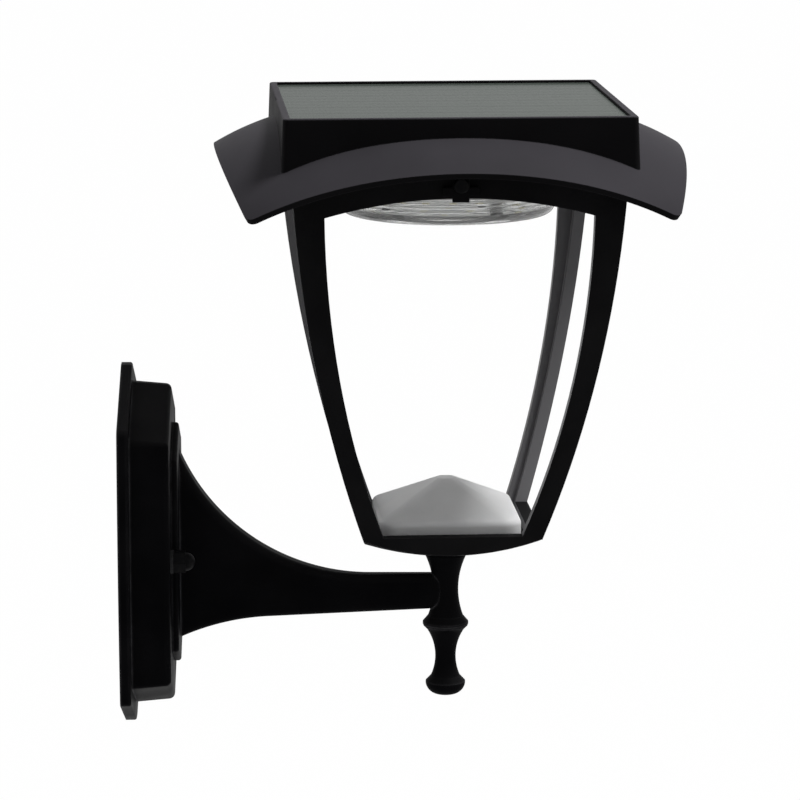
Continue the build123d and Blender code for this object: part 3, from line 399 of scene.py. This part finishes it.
# Mode button in the lens and the switch above it.
# The button is dark moulded plastic that slides in the lens's collar.
# The switch is a small black package soldered to the lamp board.
button_black, button_grey = (0.010, 0.010, 0.011), (0.022, 0.022, 0.023)
dark_plastic, tree, surface = start_finish("dark_button_plastic")
fine = spot_pattern(tree, NOISE, scale=1900)
paint(tree, surface, fine, button_black, button_grey)
polish(tree, surface, fine, 0.36, 0.50)
grain(tree, surface, fine, height=0.00004, strength=0.5, edge=0.0002)
dress(dark_plastic, "mode_button", "button_switch", "control_parts")

# Battery, its contacts, the connectors and the inside leads.
# A sleeved round cell between plated metal tabs, white plugs and thin sleeved wire.
# All of it is closed in between the roof and the pan.
sleeve_deep, sleeve_blue = (0.02, 0.10, 0.20), (0.03, 0.13, 0.25)
sleeve, tree, surface = start_finish("battery_sleeve")
shrink = spot_pattern(tree, NOISE, scale=120, detail=3.0)
paint(tree, surface, shrink, sleeve_deep, sleeve_blue)
polish(tree, surface, shrink, 0.25, 0.38)
dress(sleeve, "battery_cell")
dress(zinc, "battery_contacts")
dress(white_pan, "connectors")

wire_deep, wire_red = (0.26, 0.012, 0.010), (0.36, 0.02, 0.016)
wire, tree, surface = start_finish("red_wire_sleeve")
twist = spot_pattern(tree, NOISE, scale=500)
paint(tree, surface, twist, wire_deep, wire_red)
polish(tree, surface, twist, 0.35, 0.50)
dress(wire, "panel_lead", "lamp_lead", "battery_lead")


# Studio: a pale floor below the light, three soft lamps and a white surround.
# The light hangs in free air, and the floor shows next to nothing of its shadow.
# Floor and surround are white to the eye and in reflections, and dimmer as a light.
def eye_rays(tree):
    """One for rays seen straight, through clear plastic or in a reflection."""
    sight = tree.nodes.new("ShaderNodeLightPath")
    rays = sight.outputs["Is Camera Ray"]
    for kind in ("Is Transmission Ray", "Is Glossy Ray"):
        either = tree.nodes.new("ShaderNodeMath")
        either.operation = "MAXIMUM"
        tree.links.new(rays, either.inputs[0])
        tree.links.new(sight.outputs[kind], either.inputs[1])
        rays = either.outputs[0]
    return rays


scene = bpy.context.scene
scene.view_settings.view_transform = "Standard"
floor_mesh = bpy.data.meshes.new("floor")
far = 30.0
floor_z = -0.42
rim = [(-far, -far, floor_z), (far, -far, floor_z), (far, far, floor_z), (-far, far, floor_z)]
floor_mesh.from_pydata(rim, [], [(0, 1, 2, 3)])
floor = bpy.data.objects.new("floor", floor_mesh)
scene.collection.objects.link(floor)
white_share = 0.993
paper, tree, surface = start_finish("floor_paper")
surface.inputs["Base Color"].default_value = (0.45, 0.45, 0.45, 1)
surface.inputs["Roughness"].default_value = 0.9
surface.inputs["Specular IOR Level"].default_value = 0.1
white = tree.nodes.new("ShaderNodeEmission")
white.inputs["Color"].default_value = (1, 1, 1, 1)
share = tree.nodes.new("ShaderNodeMath")
share.operation = "MULTIPLY"
share.inputs[1].default_value = white_share
tree.links.new(eye_rays(tree), share.inputs[0])
blend = tree.nodes.new("ShaderNodeMixShader")
tree.links.new(share.outputs[0], blend.inputs["Fac"])
tree.links.new(surface.outputs["BSDF"], blend.inputs[1])
tree.links.new(white.outputs["Emission"], blend.inputs[2])
tree.links.new(blend.outputs["Shader"], tree.nodes["Material Output"].inputs["Surface"])
floor_mesh.materials.append(paper)

level_as_light, level_to_eye = 0.38, 1.0
world = bpy.data.worlds.new("surround")
scene.world = world
world.use_nodes = True
tree = world.node_tree
glow = tree.nodes["Background"]
glow.inputs["Color"].default_value = (1, 1, 1, 1)
level = spread(tree, eye_rays(tree), level_as_light, level_to_eye, start=0.0, stop=1.0)
tree.links.new(level, glow.inputs["Strength"])


def turned_to(spot, target):
    """The turn that makes a lamp or a camera at a spot look at a target."""
    return (Vector(target) - Vector(spot)).to_track_quat("-Z", "Y").to_euler()


lamp_target = (0.14, 0, 0.08)
for name, spot, width, depth, power in (
    ("window_left", (-1.9, 0.1, 0.6), 0.8, 1.2, 13),
    ("window_right", (1.8, -0.3, 0.8), 0.8, 1.2, 3),
    ("sky_panel", (1.05, -0.10, 1.90), 0.6, 0.5, 62),
):
    lamp = bpy.data.lights.new(name, "AREA")
    lamp.shape = "RECTANGLE"
    lamp.size = width
    lamp.size_y = depth
    lamp.energy = power
    holder = bpy.data.objects.new(name, lamp)
    holder.location = spot
    holder.rotation_euler = turned_to(spot, lamp_target)
    scene.collection.objects.link(holder)

camera = bpy.data.cameras.new("photo_camera")
camera.lens = 167.7
camera.sensor_width = 36.0
camera.clip_start = 0.05
eye_target = (0.1385, -0.0010, 0.0721)
eye = bpy.data.objects.new("photo_camera", camera)
eye.location = (0.0904, -1.8250, 0.4228)
eye.rotation_euler = turned_to(eye.location, eye_target)
scene.collection.objects.link(eye)
scene.camera = eye
